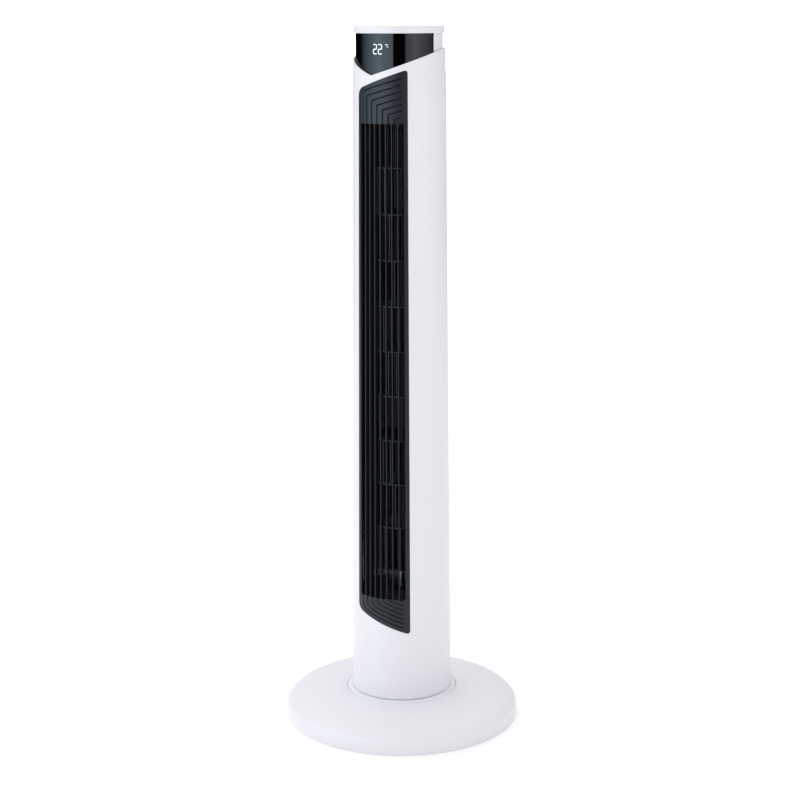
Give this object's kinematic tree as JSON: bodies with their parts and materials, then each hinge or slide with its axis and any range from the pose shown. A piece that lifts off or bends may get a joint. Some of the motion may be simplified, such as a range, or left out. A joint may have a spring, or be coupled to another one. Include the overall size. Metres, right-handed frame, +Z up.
{
  "type": "tower fan",
  "caption": "Slender upright tower fan on a round weighted base: swinging column with cross-flow impeller, slatted outlet grille, slanted collar and wrap-round display.",
  "frame": {"origin": "middle of the round base, on the floor under the rubber feet", "axes": "+Z up along the column, -Y towards the front (air outlet and display), +X to the right of someone facing the back"},
  "size_m": [0.316, 0.316, 0.93],
  "materials": {
    "white_shell": "fine satin moulded ABS",
    "grille_black": "satin black moulded",
    "display_gloss": "gloss black acrylic",
    "duct_black": "matt black moulded",
    "acetal": "natural acetal",
    "rubber": "soft rubber",
    "ballast_iron": "as cast, painted",
    "zinc_steel": "zinc plated",
    "ground_steel": "ground",
    "lamination": "stacked electrical steel",
    "copper_winding": "enamelled copper wire",
    "circuit_board": "solder resist",
    "component_black": "moulded",
    "button_grey": "satin"
  },
  "bodies": {
    "base": {"base_cover": "white_shell", "base_plate": "duct_black", "ballast_ring": "ballast_iron", "rubber_feet": "rubber", "base_screws": "zinc_steel", "glide_ring": "acetal", "swing_gear": "acetal", "cord_gland": "rubber"},
    "tower": {"bearing_bracket": "duct_black", "bearing_bush": "acetal", "board_screws": "zinc_steel", "button_board": "circuit_board", "button_switches": "component_black", "control_board": "circuit_board", "display_board": "circuit_board", "display_lens": "display_gloss", "duct_floor": "duct_black", "front_grille": "grille_black", "front_housing": "white_shell", "handle_cup": "white_shell", "head_frame": "white_shell", "led_module": "component_black", "lower_frame": "duct_black", "motor_capacitor": "component_black", "motor_grommets": "rubber", "motor_lower_case": "zinc_steel", "motor_screws": "zinc_steel", "motor_stator": "lamination", "motor_upper_case": "zinc_steel", "motor_windings": "copper_winding", "rear_housing": "white_shell", "remote_receiver": "component_black", "retainer_ring": "duct_black", "retainer_screws": "zinc_steel", "scroll_wall": "duct_black", "shell_screws": "zinc_steel", "swing_motor": "zinc_steel", "swing_motor_screws": "zinc_steel", "tongue_wall": "duct_black", "top_cap": "white_shell", "turntable": "white_shell"},
    "impeller": {"impeller": "duct_black", "drive_shaft": "ground_steel", "motor_rotor": "lamination", "upper_pin": "ground_steel"},
    "pinion": {"swing_pinion": "acetal", "swing_shaft": "ground_steel"},
    "power_button": {"power_button": "button_grey"},
    "speed_button": {"speed_button": "button_grey"},
    "swing_button": {"swing_button": "button_grey"},
    "timer_button": {"timer_button": "button_grey"}
  },
  "joints": [
    {"name": "swing", "type": "hinge", "parent": "base", "child": "tower", "pos_m": [0, 0, 0.04], "axis": [0, 0, 1], "range_deg": [-35, 35]},
    {"name": "impeller_spin", "type": "hinge", "parent": "tower", "child": "impeller", "pos_m": [0, 0, 0.5], "axis": [0, 0, 1], "continuous": true},
    {"name": "pinion_spin", "type": "hinge", "parent": "tower", "child": "pinion", "pos_m": [0, 0.02375, 0.03], "axis": [0, 0, 1], "range_deg": [-60.5, 60.5]},
    {"name": "power_press", "type": "slide", "parent": "tower", "child": "power_button", "axis": [0, 0, -1], "range_m": [0, 0.001], "stiffness_N_per_m": 600, "springref_m": -0.001},
    {"name": "speed_press", "type": "slide", "parent": "tower", "child": "speed_button", "axis": [0, 0, -1], "range_m": [0, 0.001], "stiffness_N_per_m": 600, "springref_m": -0.001},
    {"name": "swing_press", "type": "slide", "parent": "tower", "child": "swing_button", "axis": [0, 0, -1], "range_m": [0, 0.001], "stiffness_N_per_m": 600, "springref_m": -0.001},
    {"name": "timer_press", "type": "slide", "parent": "tower", "child": "timer_button", "axis": [0, 0, -1], "range_m": [0, 0.001], "stiffness_N_per_m": 600, "springref_m": -0.001}
  ],
  "couplings": [
    {"joint": "pinion_spin", "follows": "swing", "ratio": 1.7143}
  ]
}
